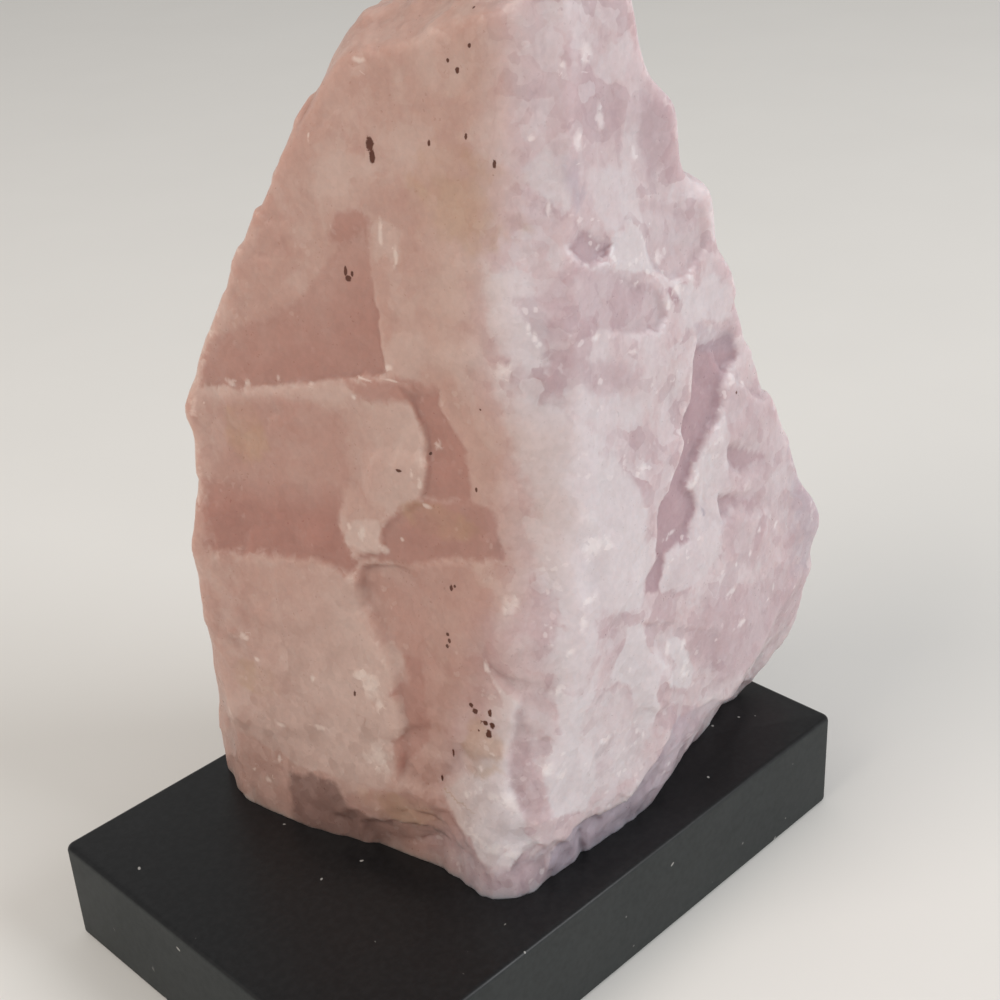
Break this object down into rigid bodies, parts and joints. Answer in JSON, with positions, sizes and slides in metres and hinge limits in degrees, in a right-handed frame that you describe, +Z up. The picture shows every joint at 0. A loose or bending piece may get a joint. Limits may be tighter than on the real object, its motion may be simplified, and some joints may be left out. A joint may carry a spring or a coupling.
{
  "type": "rose quartz specimen on a slab",
  "caption": "Tall rough lump of rose quartz, broken on every side and sawn flat underneath, standing on a polished black rectangular stone slab.",
  "frame": {"origin": "centre of the slab's underside, on the surface it stands on", "axes": "+Z up; +X along the slab's long side, towards the end the lump bulges over; +Y along the slab's short side, away from the lump's flat south wall"},
  "size_m": [0.1668, 0.1016, 0.2142],
  "materials": {
    "rose_quartz": "rough fracture, waxy to glassy lustre, cloudy and slightly translucent",
    "black_stone": "polished"
  },
  "bodies": {
    "root": {"rose_quartz": "rose_quartz", "slab": "black_stone"}
  },
  "joints": []
}
